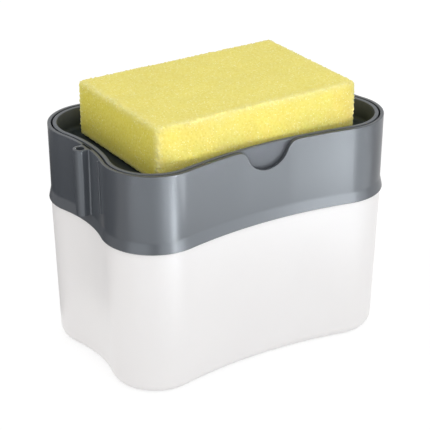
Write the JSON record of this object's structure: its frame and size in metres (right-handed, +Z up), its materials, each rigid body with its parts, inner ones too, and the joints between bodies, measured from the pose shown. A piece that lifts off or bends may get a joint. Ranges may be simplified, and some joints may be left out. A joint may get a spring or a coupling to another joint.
{
  "type": "soap pump caddy",
  "caption": "Waisted counter-top soap tank with a press-down sponge tray on top that works a lotion pump.",
  "frame": {"origin": "middle of the base of the tank, on the surface that it stands on, on the axis of the pump", "axes": "+Z up along the pump, +X along the length away from the barrel socket, -Y towards the front"},
  "size_m": [0.1482, 0.0968, 0.1263],
  "materials": {
    "frosted_tank": "matte",
    "grey_plastic": "gloss",
    "sponge_foam": "matte",
    "pump_plastic": "satin",
    "gasket_rubber": "matte",
    "nut_plastic": "satin",
    "tube_plastic": "satin",
    "piston_plastic": "satin",
    "head_plastic": "satin",
    "spring_steel": "satin",
    "ball_steel": "polished"
  },
  "bodies": {
    "tank": {"tank": "frosted_tank"},
    "collar": {"collar": "grey_plastic"},
    "pump": {"pump_housing": "pump_plastic", "neck_gasket": "gasket_rubber", "stem_guide": "pump_plastic", "ball_cage": "pump_plastic", "dip_tube": "tube_plastic", "return_spring": "spring_steel"},
    "closure_nut": {"closure_nut": "nut_plastic"},
    "plunger": {"pump_stem": "pump_plastic", "piston": "piston_plastic", "valve_seat": "pump_plastic", "pump_head": "head_plastic"},
    "tray": {"sponge_tray": "grey_plastic"},
    "sponge": {"sponge": "sponge_foam"},
    "inlet_ball": {"inlet_ball": "ball_steel"},
    "outlet_ball": {"outlet_ball": "ball_steel"}
  },
  "joints": [
    {"name": "collar_lift", "type": "slide", "parent": "tank", "child": "collar", "axis": [0, 0, 1], "range_m": [0, 0.09]},
    {"name": "pump_rise", "type": "slide", "parent": "collar", "child": "pump", "axis": [0, 0, 1], "range_m": [0, 0.0084]},
    {"name": "nut_turn", "type": "hinge", "parent": "pump", "child": "closure_nut", "pos_m": [0, 0, 0.07], "axis": [0, 0, 1], "range_deg": [0, 720]},
    {"name": "pump_press", "type": "slide", "parent": "pump", "child": "plunger", "axis": [0, 0, -1], "range_m": [0, 0.013], "stiffness_N_per_m": 350, "springref_m": -0.02, "deforming": ["return_spring"]},
    {"name": "tray_lift", "type": "slide", "parent": "plunger", "child": "tray", "axis": [0, 0, 1], "range_m": [0, 0.05]},
    {"name": "sponge_lift", "type": "slide", "parent": "tray", "child": "sponge", "axis": [0, 0, 1], "range_m": [0, 0.05]},
    {"name": "inlet_ball_lift", "type": "slide", "parent": "pump", "child": "inlet_ball", "axis": [0, 0, 1], "range_m": [0, 0.0015]},
    {"name": "outlet_ball_lift", "type": "slide", "parent": "plunger", "child": "outlet_ball", "axis": [0, 0, 1], "range_m": [0, 0.0015]}
  ],
  "couplings": [
    {"joint": "pump_rise", "follows": "nut_turn", "m_per_rad": 0.00066845}
  ]
}
